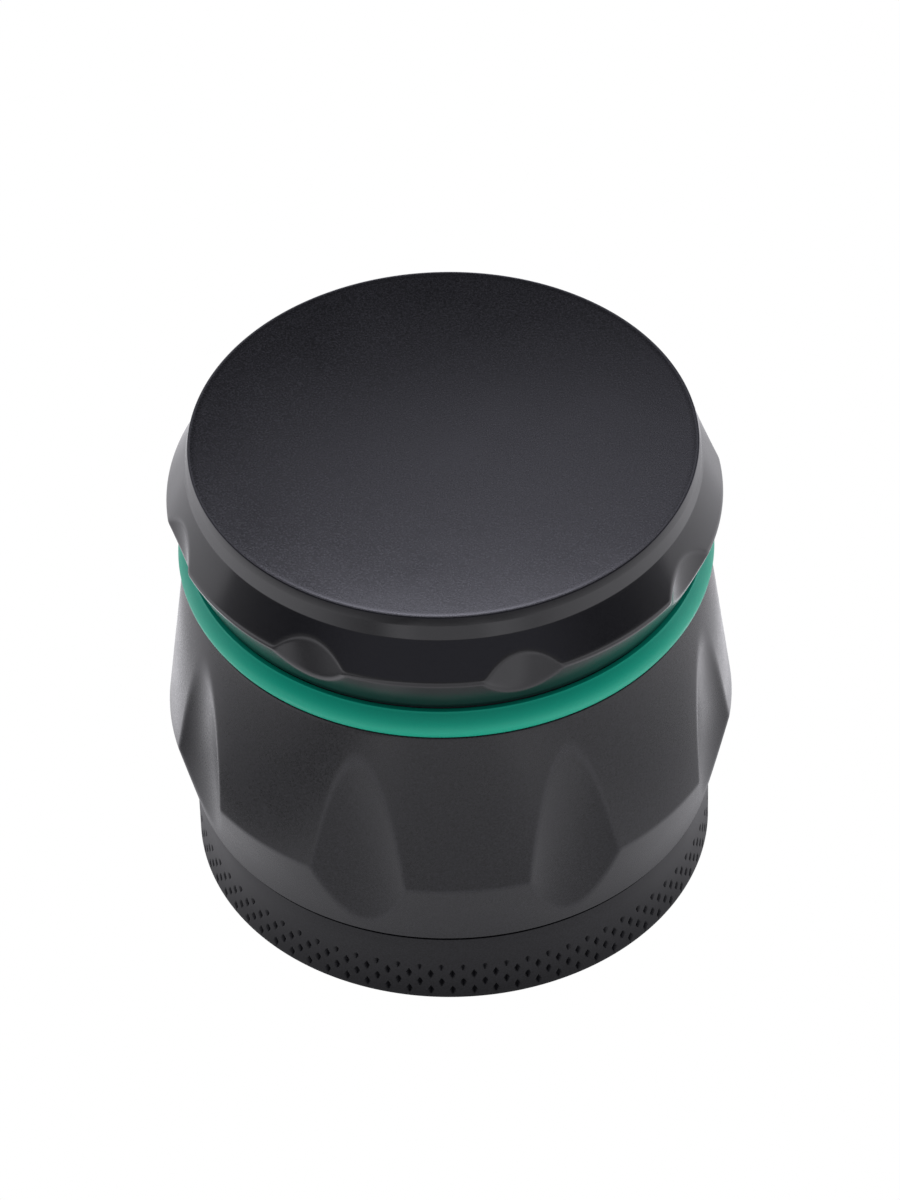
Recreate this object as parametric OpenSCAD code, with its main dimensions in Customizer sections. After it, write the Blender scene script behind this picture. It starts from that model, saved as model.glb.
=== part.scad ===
// Four-part herb and spice grinder: lid, toothed chamber, collection drum with a sifting screen, and base cup.
// Millimetres, +Z up, origin at the middle of the base's underside. All round parts share the Z axis.

/* [Base cup] */
// Outer radius of the base
base_r = 30; // [29:0.1:30.3]
// Height of the base up to the joint with the drum
base_h = 10.1; // [10:0.1:10.15]
// Thickness of the base's floor
base_floor = 1.6; // [1.2:0.1:2]

/* [Drum] */
// Height of the drum's lower edge above the table
drum_bottom = 10.22; // [10.2:0.01:10.3]
// Radius of the drum at its lower edge
drum_foot_r = 30.4; // [30.1:0.1:30.8]
// Height of the drum's widest edge
drum_belly_z = 20.3; // [18:0.1:22]
// Radius of the drum at its widest edge
drum_belly_r = 32.7; // [32:0.1:33.5]
// Height of the drum's top face
drum_top = 42.2; // [42:0.1:42.3]
// Radius of the drum at its top face
drum_top_r = 30; // [29.8:0.1:30.4]
// Radius of the drum's hollow
drum_bore_r = 27; // [26:0.1:27]

/* [Grips] */
// Number of flutes in the drum, and of notches in the lid
grip_count = 8; // [6:1:10]
// Direction of one drum flute
flute_phase = -65.2; // [-90:0.1:0]
// Radius of the cutter that makes the flutes
flute_cutter_r = 12; // [10:0.5:14]
// Least radius left at the middle of a flute, at the drum's widest edge
flute_floor_r = 30.8; // [30.2:0.1:31.4]
// Lean of a flute's floor from the vertical
flute_lean = 0.8; // [0:0.1:2]
// Direction of one lid notch
notch_phase = -75; // [-90:0.1:0]
// Radius of the cutter that makes the notches
notch_cutter_r = 11; // [9:0.5:13]
// Least radius left at the middle of a notch
notch_floor_r = 30.3; // [30:0.1:30.8]

/* [Accent ring] */
// Greatest radius of the ring
accent_r = 30.55; // [30.3:0.05:30.8]
// Height of the ring's underside
accent_bottom = 42.35; // [42.3:0.01:42.4]
// Height of the ring's top
accent_top = 45.85; // [45.7:0.05:45.9]

/* [Lid] */
// Height of the lid's lower edge
lid_bottom = 46.25; // [46.2:0.05:46.6]
// Radius of the lid's lower edge
lid_foot_r = 29.2; // [29:0.1:29.6]
// Height of the lid's widest line
lid_belly_z = 51.9; // [51:0.1:52.5]
// Radius of the lid's widest line
lid_belly_r = 31.5; // [31.2:0.1:31.8]
// Height of the lid's rim
lid_top = 59.6; // [59:0.1:60]
// Radius of the lower edge of the steep land under the lid's rim
lid_land_r = 29.25; // [29:0.05:29.4]
// Height of the steep land
lid_land_h = 2.95; // [2.5:0.05:3.5]
// Radius of the lid's rim
lid_rim_r = 28.8; // [28.2:0.05:28.9]
// Depth of the dish in the lid's top
dish_depth = 1.2; // [0.8:0.1:1.6]

/* [Chamber] */
// Inner radius of the chamber's wall
chamber_bore_r = 25.9; // [25.7:0.1:26]
// Height of the chamber's floor
chamber_floor = 45.2; // [45:0.1:45.4]
// Height of the chamber's wall
chamber_top = 53.4; // [53:0.1:53.6]
// Radius of a drop-through hole
drop_hole_r = 2; // [1.8:0.1:2]

/* [Teeth] */
// Length of a tooth across the radius
tooth_radial = 3; // [2.6:0.1:3]
// Length of a tooth along its ring
tooth_along = 4.4; // [3.8:0.1:4.6]
// Height of a tooth above its plate
tooth_h = 8; // [6:0.1:8.4]
// Radius of a tooth's shank, which is pressed into the plate
shank_r = 1.1; // [0.9:0.05:1.15]
// Length of a tooth's shank
shank_h = 1.4; // [1:0.1:1.6]

/* [Threads] */
// Rise of a thread in one turn
thread_lead = 8; // [6:0.5:8]
// Number of thread starts
thread_starts = 4; // [3:1:4]
// Radius of the tips of a male thread
male_tip_r = 27.7; // [27.6:0.05:27.75]
// Radius of the tips of a female thread
female_tip_r = 27.3; // [27.25:0.05:27.4]
// Radial depth of a thread
thread_depth = 0.6; // [0.5:0.05:0.6]

/* [Hidden] */
$fn = 96;

black = [0.10, 0.10, 0.11];
green = [0.05, 0.45, 0.36];
steel = [0.75, 0.75, 0.77];

pitch = thread_lead / thread_starts;
male_root_r = male_tip_r - thread_depth;
female_root_r = female_tip_r + thread_depth;
thread_crest = 0.25 * pitch;
thread_foot = 0.5 * pitch;
thread_step = 7.5;
bury = 0.15;

spigot_h = 4.3;
drum_spigot_bottom = drum_bottom - spigot_h;
drum_spigot_bore_r = 23.4;
seal_bead_r = 0.42;
seal_r = male_root_r + seal_bead_r + 0.1;
seal_z = drum_bottom - seal_bead_r - 0.1;
seal_seat_z = seal_z - seal_bead_r - 0.12;

screen_z = 9.6;
screen_seat_r = 25.3;
hoop_r = screen_seat_r - 0.1;
hoop_h = 1.4;
hoop_w = 1.6;
mesh_t = 0.2;
clip_groove_r = screen_seat_r + 0.6;
clip_t = 0.7;
clip_w = 1.3;
clip_gap = 24;

chamber_body_r = 28.3;
flange_r = 28.8;
flange_h = 0.9;
rebate_r = flange_r + 0.12;
rebate_z = accent_top - flange_h - 0.1;
chamber_spigot_bottom = drum_top - spigot_h + 0.3;
plate_bottom = 42.6;
wall_r = 27.55;
hub_r = 5.2;
hub_h = 2.4;
magnet_r = 4;
magnet_h = 2;
magnet_play = 0.05;

glide_h = 0.8;
glide_bottom = chamber_top + 0.1;
lid_bore_r = 27.85;
lid_ceiling = 55.6;
lid_shoulder = glide_bottom + glide_h + 0.1;
lid_shoulder_r = 25.9;
magnet_gap = 0.4;
lid_hub_bottom = chamber_floor + hub_h + magnet_gap;

shank_play = 0.01;
chamber_rings = [[9, 5], [16.5, 9], [24, 12]];
lid_rings = [[12.75, 7], [20.25, 11]];
hole_rings = [[12.75, 8], [20.25, 14]];

// Points of an arc about a centre, from one angle to another
function arc(cx, cy, r, from, to, steps = 6) =
    [for (i = [0 : steps]) let (a = from + (to - from) * i / steps) [cx + r * cos(a), cy + r * sin(a)]];

// Centre line radius and height at one step of a helical ridge
function ridge_ring(r_foot, r_crest, turn, z) =
    [[r_foot * cos(turn), r_foot * sin(turn), z - thread_foot / 2],
     [r_crest * cos(turn), r_crest * sin(turn), z - thread_crest / 2],
     [r_crest * cos(turn), r_crest * sin(turn), z + thread_crest / 2],
     [r_foot * cos(turn), r_foot * sin(turn), z + thread_foot / 2]];

// One helical ridge from height z_from to z_to, on the helix that passes angle 0 at height z_zero
module ridge(r_foot, r_crest, z_from, z_to, z_zero) {
    steps = ceil((z_to - z_from) / thread_lead * 360 / thread_step);
    rings = [for (i = [0 : steps])
        let (z = z_from + (z_to - z_from) * i / steps)
        ridge_ring(r_foot, r_crest, (z - z_zero) / thread_lead * 360, z)];
    outward = r_crest > r_foot;
    side = [for (i = [0 : steps - 1]) for (k = [0 : 3])
        let (a = 4 * i + k, b = 4 * i + (k + 1) % 4)
        each [[a, b, b + 4], [a, b + 4, a + 4]]];
    faces = concat(side, [[3, 2, 1, 0]], [[4 * steps, 4 * steps + 1, 4 * steps + 2, 4 * steps + 3]]);
    polyhedron([for (ring = rings) each ring],
        [for (f = faces) outward ? f : [for (k = [len(f) - 1 : -1 : 0]) f[k]]]);
}

// A thread of several starts, whose ridges are a pitch apart
module thread(r_foot, r_crest, z_from, z_to, z_zero) {
    for (start = [0 : thread_starts - 1]) {
        rotate([0, 0, start * 360 / thread_starts]) ridge(r_foot, r_crest, z_from, z_to, z_zero);
    }
}

module male_thread(z_from, z_to, z_zero) {
    thread(male_root_r - bury, male_tip_r, z_from, z_to, z_zero + pitch / 2);
}

module female_thread(z_from, z_to, z_zero) {
    thread(female_root_r + bury, female_tip_r, z_from, z_to, z_zero);
}

// One tooth that stands on height 0, with a diamond head and a round shank below it
module tooth() {
    linear_extrude(tooth_h)
        polygon([[-tooth_radial / 2, 0], [0, -tooth_along / 2], [tooth_radial / 2, 0], [0, tooth_along / 2]]);
    translate([0, 0, -shank_h]) cylinder(r = shank_r, h = shank_h + 1, $fn = 32);
}

module shank_hole() {
    translate([0, 0, -shank_h - 0.05]) cylinder(r = shank_r + shank_play, h = shank_h + 1, $fn = 32);
}

// Puts its child at every tooth's place in some rings, each given as [radius, number of teeth]
module at_teeth(rings) {
    for (ring = rings) {
        for (i = [0 : ring[1] - 1]) {
            rotate([0, 0, (90 + 360 * i) / ring[1]]) translate([ring[0], 0, 0]) children();
        }
    }
}

module base_cup() {
    edge = 0.4;
    bowl_r = 25.6;
    bowl_round = 2.4;
    seat_r = 28.2;
    color(black) {
        rotate_extrude()
            polygon(concat(
                [[0, 0], [base_r - edge, 0]],
                [[base_r, edge], [base_r, base_h - edge / 2], [base_r - edge / 2, base_h], [seat_r, base_h]],
                [[seat_r, seal_seat_z], [female_root_r, seal_seat_z]],
                [[female_root_r, drum_spigot_bottom - 0.3], [bowl_r, drum_spigot_bottom - 0.3]],
                arc(bowl_r - bowl_round, base_floor + bowl_round, bowl_round, 0, -90),
                [[0, base_floor]]));
        female_thread(drum_spigot_bottom + 0.5, seal_seat_z - 0.8, 0);
    }
}

module joint_seal() {
    color("black") rotate_extrude() translate([seal_r, seal_z]) circle(seal_bead_r, $fn = 32);
}

module drum_outline() {
    edge = 0.35;
    belly = 0.5;
    hollow_foot = screen_z + hoop_h + clip_t + 0.6;
    hollow_round = drum_bore_r - screen_seat_r + 0.8;
    polygon(concat(
        [[drum_spigot_bore_r, drum_spigot_bottom], [male_root_r - 0.5, drum_spigot_bottom]],
        [[male_root_r, drum_spigot_bottom + 0.5], [male_root_r, drum_bottom], [drum_foot_r - edge, drum_bottom]],
        [[drum_foot_r, drum_bottom + edge], [drum_belly_r - belly * 0.22, drum_belly_z - belly]],
        [[drum_belly_r, drum_belly_z], [drum_belly_r - belly * 0.13, drum_belly_z + belly]],
        [[drum_top_r, drum_top - edge], [drum_top_r - edge, drum_top], [female_root_r, drum_top]],
        [[female_root_r, drum_top - spigot_h], [drum_bore_r, drum_top - spigot_h]],
        [[drum_bore_r, hollow_foot + hollow_round]],
        [[screen_seat_r, hollow_foot], [screen_seat_r, screen_z + hoop_h + clip_t + 0.15]],
        [[clip_groove_r, screen_z + hoop_h + clip_t + 0.15], [clip_groove_r, screen_z + hoop_h + 0.05]],
        [[screen_seat_r, screen_z + hoop_h + 0.05], [screen_seat_r, screen_z], [drum_spigot_bore_r, screen_z]]));
}

module flute_cutter() {
    translate([flute_floor_r + flute_cutter_r, 0, drum_belly_z])
        rotate([0, -flute_lean, 0])
            rotate([0, 0, 180]) translate([0, 0, -20]) cylinder(r = flute_cutter_r, h = 60);
}

module collection_drum() {
    color(black) {
        difference() {
            rotate_extrude() drum_outline();
            for (i = [0 : grip_count - 1]) {
                rotate([0, 0, flute_phase - 90 + i * 360 / grip_count]) flute_cutter();
            }
        }
        male_thread(drum_spigot_bottom + 0.7, seal_seat_z - 0.7, 0);
        female_thread(drum_top - spigot_h + 0.9, drum_top - 0.8, drum_top);
    }
}

module screen_frame() {
    bend = 0.3;
    color(steel) rotate_extrude()
        difference() {
            translate([hoop_r - hoop_w, screen_z + 0.05])
                polygon([[0, bend], [bend, 0], [hoop_w - bend, 0], [hoop_w, bend], [hoop_w, hoop_h - 0.1 - bend],
                    [hoop_w - bend, hoop_h - 0.1], [bend, hoop_h - 0.1], [0, hoop_h - 0.1 - bend]]);
            translate([hoop_r - hoop_w - 1, screen_z + hoop_h / 2 - mesh_t / 2 - 0.02])
                square([2, mesh_t + 0.04]);
        }
}

module screen_mesh() {
    color("gainsboro") translate([0, 0, screen_z + hoop_h / 2 - mesh_t / 2])
        cylinder(r = hoop_r - hoop_w + 0.9, h = mesh_t);
}

module screen_retainer() {
    color(steel)
        translate([0, 0, screen_z + hoop_h + 0.1])
            rotate([0, 0, clip_gap / 2])
                rotate_extrude(angle = 360 - clip_gap)
                    translate([clip_groove_r - 0.1 - clip_w, 0]) square([clip_w, clip_t]);
}

module accent_ring() {
    inner_r = chamber_body_r + 0.15;
    foot_r = drum_top_r + 0.1;
    crown_r = 29.25;
    waist = (accent_top + accent_bottom) / 2 - 0.2;
    color(green) rotate_extrude()
        polygon([[inner_r, accent_bottom], [foot_r - 0.2, accent_bottom], [foot_r + 0.1, accent_bottom + 0.4],
            [accent_r - 0.06, waist - 0.5], [accent_r, waist], [accent_r - 0.1, waist + 0.6],
            [accent_r - 0.55, accent_top - 0.55], [crown_r, accent_top], [rebate_r, accent_top],
            [rebate_r, rebate_z], [inner_r, rebate_z]]);
}

module grinding_chamber() {
    edge = 0.3;
    color(black) {
        difference() {
            union() {
                rotate_extrude()
                    polygon([[0, plate_bottom], [male_root_r - 2, plate_bottom], [male_root_r - 2, chamber_spigot_bottom],
                        [male_root_r - 0.5, chamber_spigot_bottom], [male_root_r, chamber_spigot_bottom + 0.5],
                        [male_root_r, drum_top + 0.15], [chamber_body_r, drum_top + 0.15],
                        [chamber_body_r, accent_top - flange_h], [flange_r, accent_top - flange_h],
                        [flange_r, accent_top - edge], [flange_r - edge, accent_top],
                        [wall_r, accent_top], [wall_r, chamber_top - edge],
                        [wall_r - edge, chamber_top], [chamber_bore_r + edge, chamber_top],
                        [chamber_bore_r, chamber_top - edge], [chamber_bore_r, chamber_floor], [0, chamber_floor]]);
                translate([0, 0, chamber_floor - 1]) cylinder(r = hub_r, h = hub_h + 1);
            }
            translate([0, 0, chamber_floor]) at_teeth(chamber_rings) shank_hole();
            for (ring = hole_rings) {
                for (i = [0 : ring[1] - 1]) {
                    rotate([0, 0, i * 360 / ring[1]])
                        translate([ring[0], 0, plate_bottom - 1]) cylinder(r = drop_hole_r, h = 5);
                }
            }
            translate([0, 0, chamber_floor + hub_h - magnet_h - magnet_play])
                cylinder(r = magnet_r + magnet_play, h = magnet_h + 1);
        }
        male_thread(chamber_spigot_bottom + 0.7, drum_top - 0.9, drum_top);
    }
}

module chamber_teeth() {
    color("dimgray") translate([0, 0, chamber_floor]) at_teeth(chamber_rings) tooth();
}

module chamber_magnet() {
    color("silver") translate([0, 0, chamber_floor + hub_h - magnet_h]) cylinder(r = magnet_r, h = magnet_h);
}

module glide_ring() {
    color("white") rotate_extrude()
        translate([chamber_bore_r + 0.1, glide_bottom]) square([wall_r - chamber_bore_r - 0.2, glide_h]);
}

module lid_outline() {
    round_r = 1.2;
    rim_edge = 0.25;
    lean_h = 1.05;
    dish_r = (lid_rim_r * lid_rim_r + dish_depth * dish_depth) / (2 * dish_depth);
    dish_half = asin((lid_rim_r - rim_edge) / dish_r);
    polygon(concat(
        [[0, lid_ceiling], [lid_shoulder_r, lid_ceiling], [lid_shoulder_r, lid_shoulder]],
        [[lid_bore_r, lid_shoulder], [lid_bore_r, lid_bottom + 0.3], [lid_bore_r + 0.3, lid_bottom]],
        [[lid_foot_r - 0.3, lid_bottom], [lid_foot_r, lid_bottom + 0.3]],
        arc(lid_belly_r - round_r, lid_belly_z, round_r, -24, 26),
        [[lid_land_r, lid_top - lid_land_h], [(lid_land_r + lid_rim_r) / 2, lid_top - lean_h]],
        [[lid_rim_r, lid_top - rim_edge]],
        [for (i = [12 : -1 : 0]) let (a = dish_half * i / 12)
            [dish_r * sin(a), lid_top - dish_depth + dish_r * (1 - cos(a))]]));
}

module notch_cutter() {
    translate([notch_floor_r + notch_cutter_r, 0, lid_bottom - 1])
        cylinder(r = notch_cutter_r, h = lid_top - lid_bottom);
}

module lid_shell() {
    color(black)
        difference() {
            union() {
                difference() {
                    rotate_extrude() lid_outline();
                    for (i = [0 : grip_count - 1]) {
                        rotate([0, 0, notch_phase - 90 + i * 360 / grip_count]) notch_cutter();
                    }
                }
                translate([0, 0, lid_hub_bottom]) cylinder(r = hub_r, h = lid_ceiling + 1 - lid_hub_bottom);
            }
            translate([0, 0, lid_ceiling]) mirror([0, 0, 1]) at_teeth(lid_rings) shank_hole();
            translate([0, 0, lid_hub_bottom - 1])
                cylinder(r = magnet_r + magnet_play, h = magnet_h + magnet_play + 1);
        }
}

module lid_teeth() {
    color("dimgray") translate([0, 0, lid_ceiling]) mirror([0, 0, 1]) at_teeth(lid_rings) tooth();
}

module lid_magnet() {
    color("silver") translate([0, 0, lid_hub_bottom]) cylinder(r = magnet_r, h = magnet_h);
}

base_cup();
joint_seal();
collection_drum();
screen_frame();
screen_mesh();
screen_retainer();
accent_ring();
grinding_chamber();
chamber_teeth();
chamber_magnet();
glide_ring();
lid_shell();
lid_teeth();
lid_magnet();
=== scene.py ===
"""Looks of a four-part herb and spice grinder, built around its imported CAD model.

Lengths are in millimetres, and heights are above the table, until a mesh, a texture or the stage is made in
metres. Angles round the Z axis start at +X. The camera looks along +Y.
"""

import math

import bpy
import numpy as np
from mathutils import Matrix, Vector
from mathutils.geometry import delaunay_2d_cdt

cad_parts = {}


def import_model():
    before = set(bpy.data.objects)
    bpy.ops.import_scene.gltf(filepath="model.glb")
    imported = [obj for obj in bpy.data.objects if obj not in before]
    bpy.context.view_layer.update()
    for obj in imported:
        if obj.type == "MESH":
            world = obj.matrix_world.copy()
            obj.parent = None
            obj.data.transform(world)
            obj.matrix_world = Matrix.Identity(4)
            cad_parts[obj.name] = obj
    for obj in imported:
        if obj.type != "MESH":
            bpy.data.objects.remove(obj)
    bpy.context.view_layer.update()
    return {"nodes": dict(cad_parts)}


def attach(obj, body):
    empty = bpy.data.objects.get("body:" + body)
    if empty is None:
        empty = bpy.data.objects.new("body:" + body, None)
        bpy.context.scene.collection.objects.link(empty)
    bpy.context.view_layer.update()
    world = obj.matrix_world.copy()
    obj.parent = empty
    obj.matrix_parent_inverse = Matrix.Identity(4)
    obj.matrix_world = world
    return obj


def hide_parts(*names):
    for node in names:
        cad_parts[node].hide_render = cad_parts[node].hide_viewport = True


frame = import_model()
scene = bpy.context.scene
MM = 0.001
TURN = 2 * math.pi


def reach(node):
    """Greatest radius, lowest point and highest point of a CAD node."""
    at = np.array([v.co for v in frame["nodes"][node].data.vertices]) / MM
    return np.hypot(at[:, 0], at[:, 1]).max(), at[:, 2].min(), at[:, 2].max()


# ---------------------------------------------------------------- sizes

BASE_R, _, BASE_TOP = reach("base_cup")
DRUM_BELLY_R, SPIGOT_LOW, DRUM_TOP = reach("collection_drum")
RING_R, RING_LOW, RING_TOP = reach("accent_ring")
CHAMBER_R, CHAMBER_LOW, CHAMBER_TOP = reach("grinding_chamber")
LID_BELLY_R, LID_LOW, LID_TOP = reach("lid_shell")
_, _, TEETH_TOP = reach("chamber_teeth")

# Points round a wall with grips, a plain wall, a hub or magnet, and a small hole
DENSE = 720
MEDIUM = 240
HUB_POINTS = 96
SMALL = 28

# The base, with PIT_COUNT pits to a row of its knurl
BASE_FLOOR = 1.6
BOWL_R = 25.6
SEAL_SEAT_R = 28.2
SEAL_SEAT_Z = BASE_TOP - 0.94
JOINT_LINE = 0.45
JOINT_DEPTH = 0.7
PIT_COUNT = 75
PIT_COLUMNS = 20
PIT_PHASE = math.radians(-0.3)
PIT_ROW_Z = 1.25
PIT_ROW_STEP = 1.3
PIT_ROW_LINES = 8
PIT_LIMIT = 5.6
PIT_W = 0.78
PIT_H = 1.5
PIT_DEPTH = 0.55
PIT_FLANK = 2.6

# The drum and its flutes
DRUM_BOTTOM = BASE_TOP + 0.12
DRUM_FOOT_R = 30.4
DRUM_BELLY_Z = DRUM_BOTTOM + 10.08
DRUM_TOP_R = BASE_R
DRUM_BORE_R = 27.0
SPIGOT_BORE_R = 23.4
SPIGOT_H = 4.3
GRIPS = 8
FLUTE_PHASE = math.radians(-155.2)
FLUTE_CUTTER = 12.0
FLUTE_FLOOR = DRUM_BELLY_R - 1.9
FLUTE_LEAN = math.tan(math.radians(0.8))
FLUTE_BLEND = 0.2

# The threads, which are the same in both screw joints
THREAD_LEAD = 8.0
THREAD_PITCH = 2.0
THREAD_CREST = 0.5
THREAD_FOOT = 1.0
MALE_ROOT_R = 27.1
MALE_TIP_R = 27.7
FEMALE_ROOT_R = 27.9
FEMALE_TIP_R = 27.3

# The sifting screen, its hoop and the clip that holds it
SCREEN_Z = 9.6
SCREEN_SEAT_R = 25.3
HOOP_H = 1.4
HOOP_W = 1.6
CLIP_T = 0.7
CLIP_W = 1.3
CLIP_GROOVE_R = SCREEN_SEAT_R + 0.6
CLIP_GAP = math.radians(24)
WIRE_PITCH = 0.7
WIRE_R = 0.05

# The chamber, its holes and magnet, and the teeth of both plates
FLANGE_H = 0.9
CHAMBER_BODY_R = 28.3
CHAMBER_FLOOR = RING_TOP - 0.65
PLATE_BOTTOM = CHAMBER_FLOOR - 2.6
CHAMBER_WALL_R = 27.55
CHAMBER_BORE_R = 25.9
HUB_R = 5.2
HUB_H = 2.4
MAGNET_R = 4.0
MAGNET_H = 2.0
POCKET_PLAY = 0.05
DROP_HOLE_R = 2.0
DROP_RINGS = ((12.75, 8), (20.25, 14))
CHAMBER_TEETH = ((9.0, 5), (16.5, 9), (24.0, 12))
LID_TEETH = ((12.75, 7), (20.25, 11))
TOOTH_RADIAL = 3.0
TOOTH_ALONG = 4.4
TOOTH_H = TEETH_TOP - CHAMBER_FLOOR
SHANK_R = 1.1
SHANK_H = 1.4

# The lid and its notches
LID_BORE_R = 27.85
LID_SHOULDER_R = 25.9
LID_SHOULDER = LID_TOP - 5.2
LID_CEILING = LID_TOP - 4.0
LID_HUB_LOW = CHAMBER_FLOOR + HUB_H + 0.4
LID_FOOT_R = 29.2
LID_BELLY_Z = LID_LOW + 5.65
LID_ROUND = 1.2
LAND_LOW_R = 29.25
LAND_HIGH_R = 29.03
LAND_LOW = 2.95
LAND_HIGH = 1.05
RIM_R = 28.8
RIM_ROUND = 0.12
DISH_R = 28.3
DISH_EDGE = 0.03
DISH_DEPTH = 1.2
NOTCH_PHASE = math.radians(-165)
NOTCH_CUTTER = 11.0
NOTCH_FLOOR = LID_BELLY_R - 1.2
NOTCH_BLEND = 0.25


# ---------------------------------------------------------------- shapes

def angles(count, phase=0.0):
    return phase + np.arange(count) * TURN / count


def smooth_min(a, b, blend):
    """The smaller of two lengths, rounded where they cross, and how near that crossing is, from 0 to 1."""
    near = np.clip(1 - np.abs(a - b) / blend, 0, 1)
    return np.minimum(a, b) - near * near * blend / 4, near


def cutter_reach(angle, phase, floor, cutter):
    """Distance from the axis to the nearest of the round cutters that make the grips."""
    step = TURN / GRIPS
    off = (angle - phase + step / 2) % step - step / 2
    axis = floor + cutter
    inside = cutter**2 - (axis * np.sin(off)) ** 2
    return np.where(inside > 0, axis * np.cos(off) - np.sqrt(np.maximum(inside, 0)), 2 * axis)


def ridge(angle, z, zero, low, high):
    """Height of a thread's ridges above their root, from 0 to 1. They follow the helix through angle 0 at
    height zero, and run out towards the low and high ends."""
    off = (z - zero - THREAD_LEAD * angle / TURN + THREAD_PITCH / 2) % THREAD_PITCH - THREAD_PITCH / 2
    flank = (THREAD_FOOT - THREAD_CREST) / 2
    run_out = np.clip(min(z - low, high - z) / THREAD_FOOT, 0, 1)
    return np.clip((THREAD_FOOT / 2 - np.abs(off)) / flank, 0, 1) * run_out


def outline(*corners, steps=4):
    """Points along an open outline of (r, z) or (r, z, radius) corners, the latter rounded with an arc."""
    points = []
    for i, corner in enumerate(corners):
        here = np.array(corner[:2], float)
        if len(corner) == 2:
            points.append(tuple(here))
            continue
        back = np.array(corners[i - 1][:2]) - here
        ahead = np.array(corners[i + 1][:2]) - here
        back, ahead = back / np.linalg.norm(back), ahead / np.linalg.norm(ahead)
        half = math.acos(np.clip(back @ ahead, -1, 1)) / 2
        middle = (back + ahead) / np.linalg.norm(back + ahead)
        centre = here + middle * corner[2] / math.sin(half)
        start = here + back * corner[2] / math.tan(half) - centre
        end = here + ahead * corner[2] / math.tan(half) - centre
        sweep = math.pi - 2 * half
        for k in range(steps + 1):
            t = k / steps
            arm = (math.sin((1 - t) * sweep) * start + math.sin(t * sweep) * end) / math.sin(sweep)
            points.append(tuple(centre + arm))
    return points


def between(start, end, spacing):
    """Heights from one to another, evenly spaced, both ends included."""
    return np.linspace(start, end, max(2, round(abs(end - start) / spacing) + 1))


def rounded_diamond(width, length, radius, steps=3):
    """Points of a diamond with rounded corners, anticlockwise."""
    corners = [(width / 2, 0), (0, length / 2), (-width / 2, 0), (0, -length / 2)]
    rounded = [(*corner, radius) for corner in corners]
    return np.array(outline(corners[-1], *rounded, corners[0], steps=steps)[1:-1])


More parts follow.
